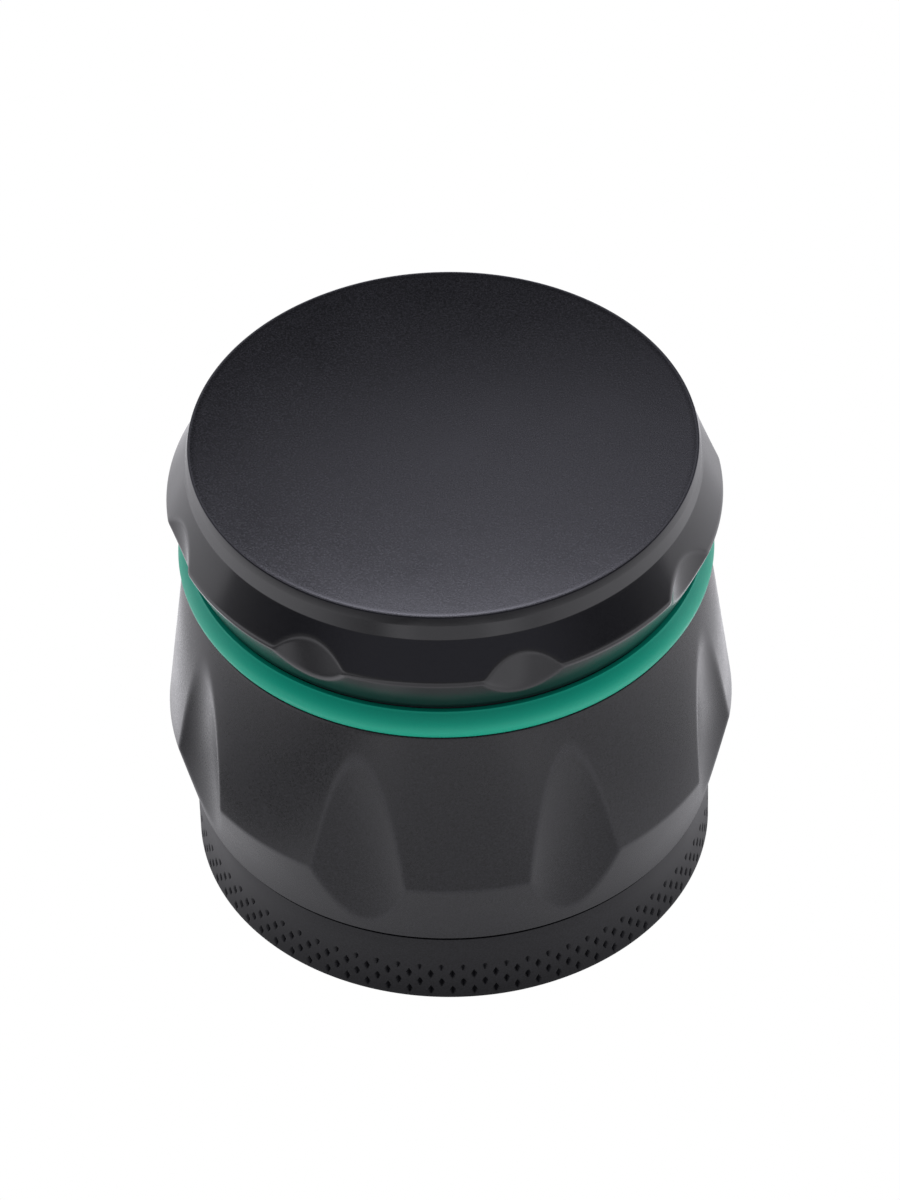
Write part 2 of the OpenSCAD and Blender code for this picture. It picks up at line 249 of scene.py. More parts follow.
class Skin:
    """Rings of points, each joined to the next, that build up one closed mesh."""

    def __init__(self, phase=0.0):
        self.phase = phase
        self.points = []
        self.edge = []
        self.faces = []
        self.last = None

    def put(self, points, edge=0.0):
        """Adds points with no faces, and returns their numbers."""
        start = len(self.points)
        self.points.extend(map(tuple, points))
        self.edge.extend(np.broadcast_to(edge, len(points)))
        return list(range(start, len(self.points)))

    def join(self, a, b):
        """Skins ring a to ring b, which may be a single point or have another number of points."""
        if len(a) == 1:
            self.faces += [(a[0], b[(i + 1) % len(b)], b[i]) for i in range(len(b))]
        elif len(b) == 1:
            self.faces += [(a[i], a[(i + 1) % len(a)], b[0]) for i in range(len(a))]
        elif len(a) == len(b):
            turn = range(len(a))
            self.faces += [(a[i], a[(i + 1) % len(a)], b[(i + 1) % len(a)], b[i]) for i in turn]
        else:
            i = j = 0
            while i < len(a) or j < len(b):
                if j == len(b) or (i < len(a) and (i + 1) * len(b) <= (j + 1) * len(a)):
                    self.faces.append((a[i], a[(i + 1) % len(a)], b[j % len(b)]))
                    i += 1
                else:
                    self.faces.append((a[i % len(a)], b[(j + 1) % len(b)], b[j]))
                    j += 1

    def ring(self, points, edge=0.0):
        """Adds a ring and skins it to the one before."""
        new = self.put(points, edge)
        if self.last:
            self.join(self.last, new)
        self.last = new
        return new

    def lift(self):
        """Ends a run of rings, so that the next ring starts a new one."""
        self.last = None

    def turned(self, r, z, count=MEDIUM, edge=0.0, centre=(0, 0)):
        """Adds a ring round a vertical axis, or its middle point where r is 0. r may vary along it."""
        if np.ndim(r) == 0 and r == 0:
            return self.ring([(*centre, z)])
        a = angles(count, self.phase)
        x, y = centre[0] + r * np.cos(a), centre[1] + r * np.sin(a)
        return self.ring(np.stack([x, y, np.full(count, z)], 1), edge)

    def follow(self, points, count=MEDIUM, centre=(0, 0)):
        """Turns each point of an outline, and returns the last ring."""
        for r, z in points:
            self.turned(r, z, count, centre=centre)
        return self.last

    def thread(self, root, tip, start, end, zero):
        """Turns a threaded wall from one height to another."""
        low, high = min(start, end), max(start, end)
        for z in between(start, end, 0.1):
            up = ridge(angles(MEDIUM, self.phase), z, zero, low, high)
            self.turned(root + (tip - root) * up, z)

    def plate(self, rim, holes, faces_up):
        """Fills the flat face inside ring rim and outside the rings in holes."""
        numbers = list(rim) + [n for hole in holes for n in hole]
        place = {n: i for i, n in enumerate(numbers)}
        flat = [Vector(self.points[n][:2]) for n in numbers]
        loops = [rim, *holes]
        edges = [(place[a], place[b]) for loop in loops for a, b in zip(loop, loop[1:] + loop[:1])]
        middles = [np.mean([self.points[n][:2] for n in hole], 0) for hole in holes]
        sizes = [np.linalg.norm(np.array(self.points[hole[0]][:2]) - m) for hole, m in zip(holes, middles)]
        where, _, found, origin, _, _ = delaunay_2d_cdt(flat, edges, [], 0, 1e-7)
        for face in found:
            middle = np.mean([where[i] for i in face], 0)
            if any(np.linalg.norm(middle - m) < s for m, s in zip(middles, sizes)):
                continue
            face = [numbers[origin[i][0]] for i in face]
            self.faces.append(tuple(face if faces_up else face[::-1]))

    def piece(self, name, material, body, nodes, sharp=32):
        """Makes the mesh, in metres, and fits it to the frame in place of some CAD nodes."""
        data = bpy.data.meshes.new(name)
        data.from_pydata((np.array(self.points) * MM).tolist(), [], self.faces)
        edge = data.attributes.new("edge", "FLOAT", "POINT")
        edge.data.foreach_set("value", np.array(self.edge, np.float32))
        data.shade_smooth()
        data.set_sharp_from_angle(angle=math.radians(sharp))
        data.materials.append(material)
        obj = bpy.data.objects.new(name, data)
        scene.collection.objects.link(obj)
        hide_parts(*nodes)
        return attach(obj, body)


# ---------------------------------------------------------------- materials

class Graph:
    """Short ways to build a node tree."""

    def __init__(self, tree):
        self.nodes = tree.nodes
        self.links = tree.links

    def add(self, kind, **settings):
        node = self.nodes.new(kind)
        for key, value in settings.items():
            setattr(node, key, value)
        return node

    def feed(self, node, *sources):
        """Gives a node's inputs their links or fixed values, in order, and returns its first output."""
        for socket, source in zip(node.inputs, sources):
            if isinstance(source, bpy.types.NodeSocket):
                self.links.new(source, socket)
            else:
                socket.default_value = source
        return node.outputs[0]

    def maths(self, operation, *sources):
        return self.feed(self.add("ShaderNodeMath", operation=operation), *sources)

    def fade(self, source, start, stop, low=0.0, high=1.0):
        """Goes smoothly from low where the source is at start to high where it is at stop."""
        node = self.add("ShaderNodeMapRange", interpolation_type="SMOOTHSTEP")
        return self.feed(node, source, start, stop, low, high)

    def stops(self, length, levels):
        """Reads a level off a list of (millimetres, level) by a length in metres."""
        node = self.add("ShaderNodeValToRGB")
        low, high = levels[0][0], levels[-1][0]
        along = self.maths("DIVIDE", self.maths("SUBTRACT", length, low * MM), (high - low) * MM)
        self.links.new(along, node.inputs[0])
        node.color_ramp.interpolation = "EASE"
        while len(node.color_ramp.elements) < len(levels):
            node.color_ramp.elements.new(1.0)
        for stop, (place, level) in zip(node.color_ramp.elements, levels):
            stop.position = (place - low) / (high - low)
            stop.color = (level, level, level, 1)
        return node.outputs["Color"]

    def only_seen(self, light, plain):
        """Shows the camera a plain white, and everything else the light."""
        self.feed(plain, (1, 1, 1, 1), 1.0)
        mix = self.add("ShaderNodeMixShader")
        seen = self.add("ShaderNodeLightPath").outputs["Is Camera Ray"]
        return self.feed(mix, seen, light.outputs[0], plain.outputs[0])


class Finish(Graph):
    """A node-built material on one Principled shader."""

    def __init__(self, name, **values):
        self.material = bpy.data.materials.new(name)
        self.material.use_nodes = True
        super().__init__(self.material.node_tree)
        self.shader = self.nodes["Principled BSDF"]
        for key, value in values.items():
            self.shader.inputs[key.replace("_", " ")].default_value = value
        self.where = self.add("ShaderNodeTexCoord").outputs["Object"]

    def noise(self, grain, detail=2.0, stretch=(1, 1, 1)):
        """Noise whose grains are that many millimetres across, longer where stretch is small."""
        mapping = self.add("ShaderNodeMapping")
        mapping.inputs["Scale"].default_value = [s / (grain * MM) for s in stretch]
        texture = self.add("ShaderNodeTexNoise")
        texture.inputs["Scale"].default_value = 1.0
        texture.inputs["Detail"].default_value = detail
        self.links.new(self.where, mapping.inputs["Vector"])
        self.links.new(mapping.outputs["Vector"], texture.inputs["Vector"])
        return texture.outputs["Fac"]

    def ranged(self, source, low, high, start=0.3, stop=0.7):
        """Spreads a texture over a range of values."""
        node = self.add("ShaderNodeMapRange")
        for key, value in (("From Min", start), ("From Max", stop), ("To Min", low), ("To Max", high)):
            node.inputs[key].default_value = value
        self.links.new(source, node.inputs["Value"])
        return node.outputs["Result"]

    def edge(self):
        """The mesh's own measure of how near a rounded edge is: 0 to 1, or below 0 in the knurl's pits."""
        return self.add("ShaderNodeAttribute", attribute_name="edge").outputs["Fac"]

    def paint(self, factor, dark, light):
        """Colours the surface dark where factor is 0, and light where it is 1."""
        node = self.add("ShaderNodeMix", data_type="RGBA")
        for socket, colour in ((node.inputs[6], dark), (node.inputs[7], light)):
            socket.default_value = (*colour, 1)
        self.links.new(factor, node.inputs[0])
        self.links.new(node.outputs[2], self.shader.inputs["Base Color"])

    def rough(self, source):
        self.links.new(source, self.shader.inputs["Roughness"])

    def bump(self, height, depth):
        """Raises the surface by up to depth millimetres."""
        node = self.add("ShaderNodeBump")
        node.inputs["Distance"].default_value = depth * MM
        self.links.new(height, node.inputs["Height"])
        self.links.new(node.outputs["Normal"], self.shader.inputs["Normal"])
        return self


# How much rougher the coat is at the bottom of the knurl's pits
PIT_ROUGHER = 0.4


def coated_black(name, dark, light, rough, grain, depth, level=0.5):
    """Black coated aluminium: a fine blasted grain, a slow change of gloss, a lighter colour along its edges
    that is partly wear and partly a painted highlight, and a rougher coat in the knurl's pits."""
    finish = Finish(name, Specular_IOR_Level=level)
    fine = finish.noise(grain, detail=3.0)
    cloudy = finish.noise(9.0)
    # Lighter colour where the edge mask is high: wear along the lips, and a painted highlight on the rim and
    # the drum's belly
    worn_and_painted_highlight = finish.ranged(finish.edge(), 0.0, 0.35, 0.2, 1.0)
    finish.paint(finish.maths("ADD", finish.ranged(fine, 0.0, 0.65), worn_and_painted_highlight), dark, light)
    sunk = finish.ranged(finish.edge(), PIT_ROUGHER, 0.0, -0.6, 0.0)
    gloss = finish.maths("ADD", finish.ranged(cloudy, *rough), finish.ranged(fine, -0.04, 0.04))
    finish.rough(finish.maths("ADD", gloss, sunk))
    return finish.bump(fine, depth).material


def anodised_green():
    finish = Finish("green_anodised", Specular_IOR_Level=0.35)
    fine = finish.noise(0.14, stretch=(1, 1, 6))
    finish.paint(finish.ranged(fine, 0, 1), (0.0, 0.54, 0.335), (0.0, 0.64, 0.395))
    finish.rough(finish.ranged(finish.noise(4.0), 0.38, 0.46))
    return finish.bump(fine, 0.006).material


def plain_metal(name, dark, light, rough, grain, depth, stretch=(1, 1, 1)):
    """Bare metal with a fine drawn or ground grain."""
    finish = Finish(name, Metallic=1.0)
    fine = finish.noise(grain, stretch=stretch)
    finish.paint(finish.ranged(finish.noise(3.0), 0, 1), dark, light)
    finish.rough(finish.ranged(fine, *rough))
    return finish.bump(fine, depth).material


def moulded(name, dark, light, rough, soft=0.0):
    """Moulded rubber or nylon with a faintly uneven skin."""
    finish = Finish(name, Subsurface_Weight=soft, Subsurface_Scale=0.001)
    finish.paint(finish.ranged(finish.noise(2.5), 0, 1), dark, light)
    finish.rough(finish.ranged(finish.noise(0.6), *rough))
    return finish.bump(finish.noise(0.25), 0.008).material


TOP_BLACK = coated_black("black_blasted", (0.002, 0.002, 0.002), (0.044, 0.044, 0.049), (0.17, 0.21),
                         grain=0.26, depth=0.003)
LID_BLACK = coated_black("black_satin_lid", (0.002, 0.002, 0.003), (0.018, 0.018, 0.021), (0.17, 0.22),
                         grain=0.14, depth=0.0015, level=0.55)
DRUM_BLACK = coated_black("black_satin_drum", (0.001, 0.001, 0.002), (0.038, 0.038, 0.043), (0.26, 0.32),
                          grain=0.24, depth=0.003, level=0.45)
BASE_BLACK = coated_black("black_satin_base", (0.001, 0.001, 0.002), (0.028, 0.028, 0.033), (0.34, 0.40),
                          grain=0.22, depth=0.004, level=0.42)
INNER_BLACK = coated_black("black_satin_chamber", (0.012, 0.012, 0.014), (0.022, 0.022, 0.026), (0.26, 0.34),
                           grain=0.15, depth=0.003)
GREEN = anodised_green()
STEEL = plain_metal("stainless_steel", (0.52, 0.52, 0.53), (0.68, 0.68, 0.69), (0.22, 0.38),
                    grain=0.08, depth=0.004, stretch=(1, 1, 5))
WIRE = plain_metal("steel_wire", (0.55, 0.55, 0.56), (0.70, 0.70, 0.71), (0.25, 0.35),
                   grain=0.05, depth=0.001)
NICKEL = plain_metal("nickel_plate", (0.60, 0.58, 0.54), (0.74, 0.72, 0.68), (0.12, 0.24),
                     grain=0.12, depth=0.003)
NYLON = moulded("white_nylon", (0.74, 0.74, 0.70), (0.84, 0.84, 0.80), (0.40, 0.52), soft=0.15)
RUBBER = moulded("black_rubber", (0.008, 0.008, 0.008), (0.016, 0.016, 0.016), (0.55, 0.68))


# ---------------------------------------------------------------- base

def pit_depth(angle, z):
    """Depth of the knurl's pits: rows of small diamonds, each row half a step round from the next, with
    flanks that fall to a flat floor."""
    row = round((z - PIT_ROW_Z) / PIT_ROW_STEP)
    step = TURN / PIT_COUNT
    shift = PIT_PHASE + (step / 2 if row % 2 else 0)
    across = np.abs((angle - shift + step / 2) % step - step / 2) * BASE_R
    down = abs(z - PIT_ROW_Z - row * PIT_ROW_STEP)
    cut_off = np.clip(PIT_LIMIT - z, 0, 1)
    return PIT_DEPTH * cut_off * np.clip(PIT_FLANK * (0.5 - across / PIT_W - down / PIT_H), 0, 1)


def knurled_base():
    """The base cup, from the middle of its underside out, up, and down into its bowl."""
    count = PIT_COUNT * PIT_COLUMNS
    skin = Skin(PIT_PHASE)
    skin.turned(0, 0)
    skin.turned(BASE_R - 2, 0)
    for r, z in outline((BASE_R - 1, 0), (BASE_R, 0, 0.12), (BASE_R, 0.5))[1:-1]:
        skin.turned(r, z, count)
    line = PIT_ROW_STEP / PIT_ROW_LINES
    for i in range(math.ceil((0.5 - PIT_ROW_Z) / line), math.floor((PIT_LIMIT - PIT_ROW_Z) / line) + 2):
        z = PIT_ROW_Z + i * line
        pit = pit_depth(angles(count, PIT_PHASE), z)
        skin.turned(BASE_R - pit, z, count, edge=-pit / PIT_DEPTH)
    skin.turned(BASE_R, PIT_LIMIT + 0.5, count)
    lip = BASE_TOP - JOINT_LINE
    inner = BASE_R - JOINT_DEPTH
    skin.follow(outline((BASE_R, lip - 2), (BASE_R, lip, 0.06), (inner, lip, 0.03),
                        (inner, BASE_TOP, 0.05), (SEAL_SEAT_R, BASE_TOP, 0.1),
                        (SEAL_SEAT_R, SEAL_SEAT_Z, 0.1), (FEMALE_ROOT_R, SEAL_SEAT_Z, 0.1),
                        (FEMALE_ROOT_R, SEAL_SEAT_Z - 0.3)))
    skin.thread(FEMALE_ROOT_R, FEMALE_TIP_R, SEAL_SEAT_Z - 0.35, SPIGOT_LOW + 0.05, 0)
    ledge = SPIGOT_LOW - 0.3
    skin.follow(outline((FEMALE_ROOT_R, SPIGOT_LOW), (FEMALE_ROOT_R, ledge, 0.15), (BOWL_R, ledge, 0.2),
                        (BOWL_R, BASE_FLOOR, 2.4), (2, BASE_FLOOR), (0, BASE_FLOOR), steps=8))
    skin.piece("knurled_base", BASE_BLACK, "base", ["base_cup"])


def round_bar_ring(name, r, z, bar, material, body, node):
    """A ring of round section, such as a rubber seal."""
    skin = Skin()
    sides = 16
    first = skin.turned(r + bar, z)
    for a in angles(sides)[1:]:
        skin.turned(r + bar * math.cos(a), z + bar * math.sin(a))
    skin.join(skin.last, first)
    skin.piece(name, material, body, [node])


def rubber_seal():
    bar = 0.42
    round_bar_ring("rubber_seal", MALE_ROOT_R + bar + 0.1, DRUM_BOTTOM - bar - 0.1, bar,
                   RUBBER, "drum_carrier", "joint_seal")


# ---------------------------------------------------------------- drum and screen

def drum_wall_r(z):
    """Radius of the drum's wall between its flutes."""
    below = DRUM_FOOT_R + (DRUM_BELLY_R - DRUM_FOOT_R) * (z - DRUM_BOTTOM) / (DRUM_BELLY_Z - DRUM_BOTTOM)
    above = DRUM_BELLY_R + (DRUM_TOP_R - DRUM_BELLY_R) * (z - DRUM_BELLY_Z) / (DRUM_TOP - DRUM_BELLY_Z)
    return smooth_min(below, above, 0.15)


def fluted_drum():
    """The drum, from its spigot's lower edge out, up its fluted wall, and down its hollow."""
    skin = Skin()
    start = skin.turned(SPIGOT_BORE_R, SPIGOT_LOW + 0.2)
    skin.turned(SPIGOT_BORE_R + 0.2, SPIGOT_LOW)
    skin.follow(outline((MALE_ROOT_R - 1, SPIGOT_LOW), (MALE_ROOT_R - 0.4, SPIGOT_LOW, 0.1),
                        (MALE_ROOT_R, SPIGOT_LOW + 0.4, 0.1), (MALE_ROOT_R, SPIGOT_LOW + 0.5)))
    skin.thread(MALE_ROOT_R, MALE_TIP_R, SPIGOT_LOW + 0.55, SEAL_SEAT_Z - 0.35, THREAD_PITCH / 2)
    skin.follow(outline((MALE_ROOT_R, DRUM_BOTTOM - 0.5), (MALE_ROOT_R, DRUM_BOTTOM, 0.1), (29, DRUM_BOTTOM)))
    a = angles(DENSE)
    foot = outline((29, DRUM_BOTTOM), (DRUM_FOOT_R, DRUM_BOTTOM, 0.25), (DRUM_FOOT_R + 0.23, DRUM_BOTTOM + 1))
    for r, z in foot[1:-1]:
        skin.turned(r, z, DENSE)
    heights = np.concatenate([between(DRUM_BOTTOM + 0.5, DRUM_BELLY_Z - 0.7, 0.45),
                              between(DRUM_BELLY_Z - 0.5, DRUM_BELLY_Z + 0.5, 0.125),
                              between(DRUM_BELLY_Z + 0.8, DRUM_TOP - 4.1, 0.5),
                              between(DRUM_TOP - 3.1, DRUM_TOP - 0.6, 0.9)])
    for z in heights:
        wall, belly = drum_wall_r(z)
        floor = FLUTE_FLOOR - (z - DRUM_BELLY_Z) * FLUTE_LEAN
        r, lip = smooth_min(wall, cutter_reach(a, FLUTE_PHASE, floor, FLUTE_CUTTER), FLUTE_BLEND)
        # The edge mask lightens the coat along the flute lips, and along the belly as a painted highlight
        skin.turned(r, z, DENSE, edge=np.maximum(lip, belly * (r > wall - 0.1)))
    for r, z in outline((DRUM_TOP_R + 0.1, DRUM_TOP - 1), (DRUM_TOP_R, DRUM_TOP, 0.15), (29, DRUM_TOP))[1:-1]:
        skin.turned(r, z, DENSE)
    skin.follow(outline((28.6, DRUM_TOP), (FEMALE_ROOT_R, DRUM_TOP, 0.15), (FEMALE_ROOT_R, DRUM_TOP - 0.3)))
    thread_end = DRUM_TOP - SPIGOT_H
    skin.thread(FEMALE_ROOT_R, FEMALE_TIP_R, DRUM_TOP - 0.35, thread_end + 0.4, DRUM_TOP)
    clip_low = SCREEN_Z + HOOP_H + 0.05
    clip_top = SCREEN_Z + HOOP_H + CLIP_T + 0.15
    skin.follow(outline((FEMALE_ROOT_R, thread_end + 0.3), (FEMALE_ROOT_R, thread_end, 0.15),
                        (DRUM_BORE_R, thread_end, 0.2), (DRUM_BORE_R, clip_top + 3.6, 2.0),
                        (SCREEN_SEAT_R, clip_top + 0.6, 0.2), (SCREEN_SEAT_R, clip_top, 0.05),
                        (CLIP_GROOVE_R, clip_top, 0.05), (CLIP_GROOVE_R, clip_low, 0.05),
                        (SCREEN_SEAT_R, clip_low, 0.05), (SCREEN_SEAT_R, SCREEN_Z, 0.05),
                        (SPIGOT_BORE_R, SCREEN_Z, 0.2), (SPIGOT_BORE_R, SPIGOT_LOW + 0.4), steps=5))
    skin.join(skin.last, start)
    skin.piece("fluted_drum", DRUM_BLACK, "drum", ["collection_drum"])


def screen_hoop():
    """A steel channel rolled round the edge of the screen, with the screen held in its slot."""
    outer = SCREEN_SEAT_R - 0.1
    inner = outer - HOOP_W
    low = SCREEN_Z + 0.05
    middle = SCREEN_Z + HOOP_H / 2
    high = SCREEN_Z + HOOP_H - 0.05
    bend = 0.3
    slot = 0.12
    skin = Skin()
    path = outline((inner, middle - slot - 0.05), (inner, low, bend), (outer, low, bend), (outer, high, bend),
                   (inner, high, bend), (inner, middle + slot), (inner + 1, middle + slot),
                   (inner + 1, middle - slot), (inner, middle - slot))
    first = skin.turned(*path[0])
    skin.follow(path[1:])
    skin.join(skin.last, first)
    skin.piece("screen_hoop", STEEL, "drum", ["screen_frame"])


def woven_screen():
    """Plain-woven steel wire: each wire passes over and under those that it crosses."""
    skin = Skin()
    radius = SCREEN_SEAT_R - 0.1 - HOOP_W + 0.85
    middle = SCREEN_Z + HOOP_H / 2
    sides = 4
    wires = int(radius / WIRE_PITCH)
    for along in (0, 1):
        for k in range(-wires, wires + 1):
            side = k * WIRE_PITCH
            half = math.sqrt(radius**2 - side**2)
            last = math.floor(half / WIRE_PITCH * 2)
            stations = np.arange(-last, last + 1) / 2
            if len(stations) < 3:
                continue
            skin.lift()
            for s in stations:
                wave = math.cos(math.pi * (s + k)) * (1 if along else -1) * WIRE_R
                ring = [(s * WIRE_PITCH, side + WIRE_R * math.cos(a), middle + wave + WIRE_R * math.sin(a))
                        for a in angles(sides, math.pi / 4)]
                # The wires along Y are mirror images, so their rings run the other way.
                skin.ring(ring if along else [(y, x, z) for x, y, z in reversed(ring)])
            end = skin.last
            skin.faces.append(tuple(end))
            skin.faces.append(tuple(n - sides * (len(stations) - 1) for n in reversed(end)))
    skin.piece("woven_screen", WIRE, "drum", ["screen_mesh"], sharp=100)


def spring_clip():
    """An open steel ring that snaps into the drum's groove above the screen, slimmer at its two ends."""
    outer = CLIP_GROOVE_R - 0.1
    low = SCREEN_Z + HOOP_H + 0.1
    high = low + CLIP_T
    skin = Skin()
    edge = 0.08
    for a in np.linspace(CLIP_GAP / 2, TURN - CLIP_GAP / 2, MEDIUM):
        from_end = min(a - CLIP_GAP / 2, TURN - CLIP_GAP / 2 - a) * outer
        width = CLIP_W * (1 - 0.25 * math.exp(-((from_end / 3) ** 2)))
        inner = outer - width
        section = [(inner, low + edge), (inner + edge, low), (outer - edge, low), (outer, low + edge),
                   (outer, high - edge), (outer - edge, high), (inner + edge, high), (inner, high - edge)]
        skin.ring([(r * math.cos(a), r * math.sin(a), z) for r, z in section[::-1]])
    last = skin.last
    skin.faces.append(tuple(last))
    skin.faces.append(tuple(range(len(last)))[::-1])
    skin.piece("spring_clip", STEEL, "drum", ["screen_retainer"])


# ---------------------------------------------------------------- accent ring and chamber

def accent_ring():
    """The green ring: bulged outside, with a rebate inside its top for the chamber's flange."""
    inner = CHAMBER_BODY_R + 0.15
    rebate = CHAMBER_R + 0.12
    rebate_z = RING_TOP - FLANGE_H - 0.1
    waist = RING_LOW + 0.42 * (RING_TOP - RING_LOW)
    skin = Skin()
    crown = [(RING_R - 0.27 * (z - waist) ** 2, z) for z in between(RING_LOW + 0.1, RING_TOP - 0.1, 0.15)]
    path = outline((inner, RING_LOW + 0.3), (inner, RING_LOW, 0.15), (crown[0][0], RING_LOW, 0.08), crown[0])
    path += crown[1:-1]
    path += outline(crown[-1], (crown[-1][0] - 0.05, RING_TOP, 0.1), (rebate, RING_TOP, 0.08),
                    (rebate, rebate_z, 0.08), (inner, rebate_z, 0.1), (inner, rebate_z - 0.3))
    first = skin.turned(*path[0], count=DENSE // 2)
    skin.follow(path[1:], count=DENSE // 2)
    skin.join(skin.last, first)
    skin.piece("green_ring", GREEN, "chamber_carrier", ["accent_ring"])


def places(rings, offset):
    """Angle and middle of each hole or tooth in rings of (radius, number)."""
    for radius, number in rings:
        for i in range(number):
            a = (offset + TURN * i) / number
            yield a, (radius * math.cos(a), radius * math.sin(a))


def blind_holes(skin, rings, z, depth):
    """Sinks the teeth's shank holes, down if depth is above 0 and up if below, and returns their rims."""
    rims = []
    r = SHANK_R + 0.01
    for _, middle in places(rings, math.pi / 2):
        skin.lift()
        stations = [(r, z), (r, z - depth), (0, z - depth)]
        if depth < 0:
            stations.reverse()
        made = [skin.turned(*s, count=SMALL, centre=middle) for s in stations]
        rims.append(made[0] if depth > 0 else made[-1])
    return rims


def drop_holes(skin, top, bottom):
    """Drills the holes that ground herb falls through, and returns their upper and lower rims."""
    uppers, lowers = [], []
    for _, middle in places(DROP_RINGS, 0):
        skin.lift()
        path = outline((DROP_HOLE_R + 1, top), (DROP_HOLE_R, top, 0.2), (DROP_HOLE_R, bottom, 0.2),
                       (DROP_HOLE_R + 1, bottom), steps=3)[1:-1]
        made = [skin.turned(*p, count=SMALL, centre=middle) for p in path]
        uppers.append(made[0])
        lowers.append(made[-1])
    return uppers, lowers


def grinding_chamber():
    """The chamber: its threaded spigot, its walls, its floor with the drop holes, and the magnet's hub."""
    skin = Skin()
    bore = MALE_ROOT_R - 2
    under = skin.turned(bore - 0.3, PLATE_BOTTOM)
    skin.follow(outline((bore - 0.2, PLATE_BOTTOM), (bore, PLATE_BOTTOM, 0.15), (bore, CHAMBER_LOW, 0.15),
                        (MALE_ROOT_R - 0.4, CHAMBER_LOW, 0.1), (MALE_ROOT_R, CHAMBER_LOW + 0.4, 0.1),
                        (MALE_ROOT_R, CHAMBER_LOW + 0.5)))
    skin.thread(MALE_ROOT_R, MALE_TIP_R, CHAMBER_LOW + 0.55, DRUM_TOP - 0.45, DRUM_TOP + THREAD_PITCH / 2)
    seat = DRUM_TOP + 0.15
    flange = RING_TOP - FLANGE_H
    floor_rim = skin.follow(outline(
        (MALE_ROOT_R, seat - 0.3), (MALE_ROOT_R, seat, 0.1), (CHAMBER_BODY_R, seat, 0.1),
        (CHAMBER_BODY_R, flange, 0.1), (CHAMBER_R, flange, 0.1), (CHAMBER_R, RING_TOP, 0.25),
        (CHAMBER_WALL_R, RING_TOP, 0.15), (CHAMBER_WALL_R, CHAMBER_TOP, 0.25),
        (CHAMBER_BORE_R, CHAMBER_TOP, 0.25), (CHAMBER_BORE_R, CHAMBER_FLOOR, 0.3),
        (CHAMBER_BORE_R - 0.35, CHAMBER_FLOOR)))
    uppers, lowers = drop_holes(skin, CHAMBER_FLOOR, PLATE_BOTTOM)
    sockets = blind_holes(skin, CHAMBER_TEETH, CHAMBER_FLOOR, SHANK_H + 0.05)
    skin.lift()
    hub_top = CHAMBER_FLOOR + HUB_H
    pocket = MAGNET_R + POCKET_PLAY
    pocket_z = hub_top - MAGNET_H - POCKET_PLAY
    path = outline((HUB_R, CHAMBER_FLOOR), (HUB_R, hub_top, 0.25), (pocket, hub_top, 0.1), (pocket, pocket_z),
                   (0, pocket_z))
    hub = [skin.turned(*p, count=HUB_POINTS) for p in path][0]
    skin.plate(floor_rim, [hub, *uppers, *sockets], faces_up=True)
    skin.plate(under, lowers, faces_up=False)
    skin.piece("chamber_bowl", INNER_BLACK, "chamber", ["grinding_chamber"])


def teeth(name, rings, z, up, body, node):
    """Diamond teeth with round shanks, standing up from a plate or hanging down from it."""
    skin = Skin()
    bevel = 0.22
    flat = rounded_diamond(TOOTH_RADIAL, TOOTH_ALONG, 0.28)
    tip = flat * (1 - 2 * bevel / TOOTH_RADIAL)
    foot = flat * (1 - 0.12 / TOOTH_RADIAL)
    way = np.arctan2(flat[:, 1], flat[:, 0])
    shank = SHANK_R * np.stack([np.cos(way), np.sin(way)], 1)
    shoulder = flat * (1 - 0.6 * bevel / TOOTH_RADIAL)
    stack = [(shank * 0.9, -SHANK_H), (shank, -SHANK_H + 0.12), (shank, 0.0), (foot, 0.0), (flat, 0.06),
             (flat, TOOTH_H - bevel), (shoulder, TOOTH_H - 0.3 * bevel), (tip, TOOTH_H)]
    for a, middle in places(rings, math.pi / 2):
        skin.lift()
        turn = np.array([[math.cos(a), math.sin(a)], [-math.sin(a), math.cos(a)]])
        made = []
        for section, height in stack if up else stack[::-1]:
            flat_place = section @ turn + middle
            height = z + height if up else z - height
            made.append(skin.ring([(x, y, height) for x, y in flat_place]))
        skin.faces.append(tuple(made[-1]))
        skin.faces.append(tuple(reversed(made[0])))
    skin.piece(name, INNER_BLACK, body, [node], sharp=40)


def disc_magnet(name, low, body, node):
    """A plated disc magnet with rolled edges."""
    skin = Skin()
    high = low + MAGNET_H
    skin.follow(outline((0, low), (MAGNET_R, low, 0.2), (MAGNET_R, high, 0.2), (0, high)), count=HUB_POINTS)
    skin.piece(name, NICKEL, body, [node])


# ---------------------------------------------------------------- lid

def glide_ring():
    """The nylon ring that the lid turns on."""
    outer, low, high = reach("glide_ring")
    inner = CHAMBER_BORE_R + 0.1
    skin = Skin()
    path = outline((inner, (low + high) / 2), (inner, low, 0.15), (outer, low, 0.15), (outer, high, 0.3),
                   (inner, high, 0.3), (inner, (low + high) / 2 + 0.01))
    first = skin.turned(*path[0])
    skin.follow(path[1:])
    skin.join(skin.last, first)
    skin.piece("nylon_ring", NYLON, "lid_carrier", ["glide_ring"])


def lid_profile():
    """Two stretches of the lid's outside: its round belly, and the steep land that leans in to the crest."""
    belly = (LID_BELLY_R - LID_ROUND, LID_BELLY_Z)
    arc = [(belly[0] + LID_ROUND * math.cos(t), belly[1] + LID_ROUND * math.sin(t))
           for t in np.radians(np.linspace(-24, 26, 10))]
    land = outline(arc[-1], (LAND_LOW_R, LID_TOP - LAND_LOW, 0.4), (LAND_HIGH_R, LID_TOP - LAND_HIGH, 1.5),
                   (RIM_R, LID_TOP, RIM_ROUND), (DISH_R, LID_TOP), steps=6)[1:-1]
    return arc, land


